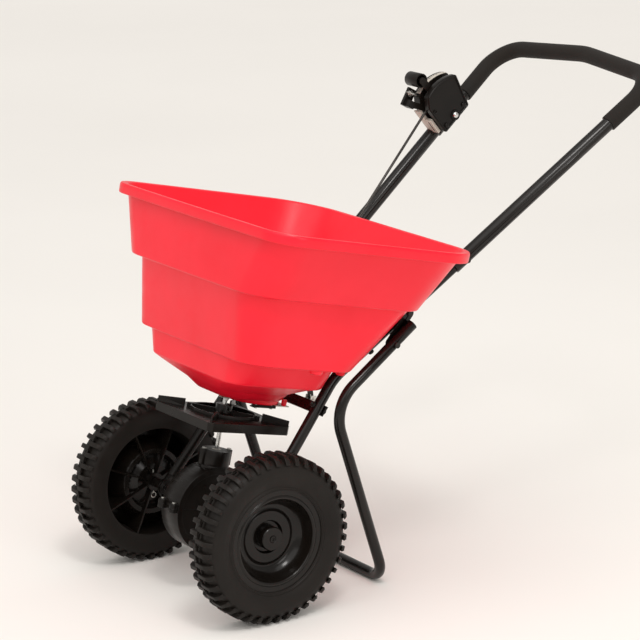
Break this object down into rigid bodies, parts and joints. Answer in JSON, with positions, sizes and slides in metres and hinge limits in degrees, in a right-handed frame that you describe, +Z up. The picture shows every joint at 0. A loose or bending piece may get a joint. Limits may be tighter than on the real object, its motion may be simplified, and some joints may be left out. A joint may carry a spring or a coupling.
{
  "type": "broadcast spreader",
  "caption": "Walk-behind broadcast spreader: tiered red hopper on two lugged wheels, an axle-driven spinner below it, a U handle with a flow-control dial and a folded tube stand.",
  "frame": {"origin": "on the floor, below the middle of the machine's bounding box", "axes": "+Z up, the front faces -Y and the handle is at +Y, +X is the machine's left side"},
  "size_m": [0.5836, 1.0316, 0.9184],
  "materials": {
    "hopper_plastic": "satin moulded polyethylene, bright red",
    "tyre_rubber": "matt black",
    "wheel_plastic": "satin black moulding",
    "black_plastic": "satin black moulding",
    "pale_plastic": "pale moulding",
    "gear_plastic": "natural nylon",
    "painted_steel": "semi-gloss black powder coat",
    "black_steel": "black oxide",
    "zinc_steel": "zinc plated",
    "bright_steel": "bright steel",
    "foam": "closed-cell foam, black"
  },
  "bodies": {
    "frame": {"hopper": "hopper_plastic", "frame_nuts": "black_steel", "axle_bushes": "black_plastic", "left_frame_tube": "painted_steel", "right_frame_tube": "painted_steel", "stand": "painted_steel", "stand_straps": "painted_steel", "stand_plugs": "black_plastic", "stand_bolts": "black_steel", "handle_bar": "painted_steel", "foam_grip": "foam", "handle_bolts": "black_steel", "cross_brace": "painted_steel", "brace_bolts": "black_steel", "bracket_screws": "zinc_steel", "gate_bracket": "painted_steel", "hopper_bolts": "black_steel", "hopper_spacers": "black_plastic", "hopper_shaft_bush": "pale_plastic", "gearbox_upper": "black_plastic", "gearbox_lower": "black_plastic", "gearbox_collar": "black_plastic", "gearbox_screws": "zinc_steel", "shaft_bush": "pale_plastic", "gate_rails": "black_plastic", "rail_screws": "zinc_steel", "dial_case_left": "black_plastic", "dial_case_right": "black_plastic", "case_screws": "zinc_steel", "pivot_bolt": "bright_steel", "pivot_spacer": "pale_plastic", "dial_scale": "pale_plastic", "dial_clamp": "black_steel"},
    "drive_axle": {"axle": "bright_steel", "drive_pin": "zinc_steel", "axle_pins": "zinc_steel", "axle_washers": "zinc_steel", "axle_spacers": "black_plastic", "right_tyre": "tyre_rubber", "right_rim": "wheel_plastic", "right_hub_cap": "wheel_plastic", "axle_gear": "gear_plastic"},
    "left_wheel": {"left_tyre": "tyre_rubber", "left_rim": "wheel_plastic", "left_hub_cap": "wheel_plastic"},
    "spinner_unit": {"spinner_shaft": "bright_steel", "spinner": "black_plastic", "spinner_pin": "zinc_steel", "pinion": "gear_plastic", "agitator": "gear_plastic"},
    "lever": {"control_lever": "black_plastic", "lever_knob": "black_plastic"},
    "rod": {"control_rod": "black_steel"},
    "gate_crank": {"gate_shaft": "black_steel"},
    "gate_plate": {"shutoff_plate": "zinc_steel", "gate_pin": "zinc_steel"},
    "stop": {"rate_stop": "black_plastic", "stop_screw": "zinc_steel"},
    "stop_nut": {"wing_nut": "zinc_steel"}
  },
  "joints": [
    {"name": "axle_spin", "type": "hinge", "parent": "frame", "child": "drive_axle", "pos_m": [0, -0.3634, 0.1524], "axis": [1, 0, 0], "continuous": true},
    {"name": "left_wheel_spin", "type": "hinge", "parent": "drive_axle", "child": "left_wheel", "pos_m": [0.2079, -0.3634, 0.1524], "axis": [1, 0, 0], "continuous": true},
    {"name": "spinner_spin", "type": "hinge", "parent": "frame", "child": "spinner_unit", "pos_m": [0, -0.3264, 0.32242], "axis": [0, 0.2126, 0.9771], "continuous": true},
    {"name": "lever_turn", "type": "hinge", "parent": "frame", "child": "lever", "pos_m": [-0.1765, 0.3138, 0.7802], "axis": [-1, 0, 0], "range_deg": [0, 38]},
    {"name": "rod_slide", "type": "slide", "parent": "frame", "child": "rod", "axis": [0, 0.7024, 0.7118], "range_m": [0, 0.0338]},
    {"name": "gate_crank_turn", "type": "hinge", "parent": "frame", "child": "gate_crank", "pos_m": [-0.073, -0.10977, 0.35101], "axis": [-1, 0, 0], "range_deg": [0, 38.2]},
    {"name": "gate_plate_slide", "type": "slide", "parent": "frame", "child": "gate_plate", "axis": [0, -0.9771, 0.2126], "range_m": [0, 0.0298]},
    {"name": "rate_stop_turn", "type": "hinge", "parent": "frame", "child": "stop", "pos_m": [-0.1765, 0.3138, 0.7802], "axis": [1, 0, 0], "range_deg": [0, 9]},
    {"name": "wing_nut_turn", "type": "hinge", "parent": "stop", "child": "stop_nut", "pos_m": [-0.196, 0.23223, 0.82486], "axis": [1, 0, 0], "continuous": true}
  ],
  "couplings": [
    {"joint": "spinner_spin", "follows": "axle_spin", "ratio": 4},
    {"joint": "rod_slide", "follows": "lever_turn", "m_per_rad": 0.050671},
    {"joint": "gate_crank_turn", "follows": "lever_turn", "ratio": 1},
    {"joint": "gate_plate_slide", "follows": "lever_turn", "m_per_rad": 0.044649}
  ]
}
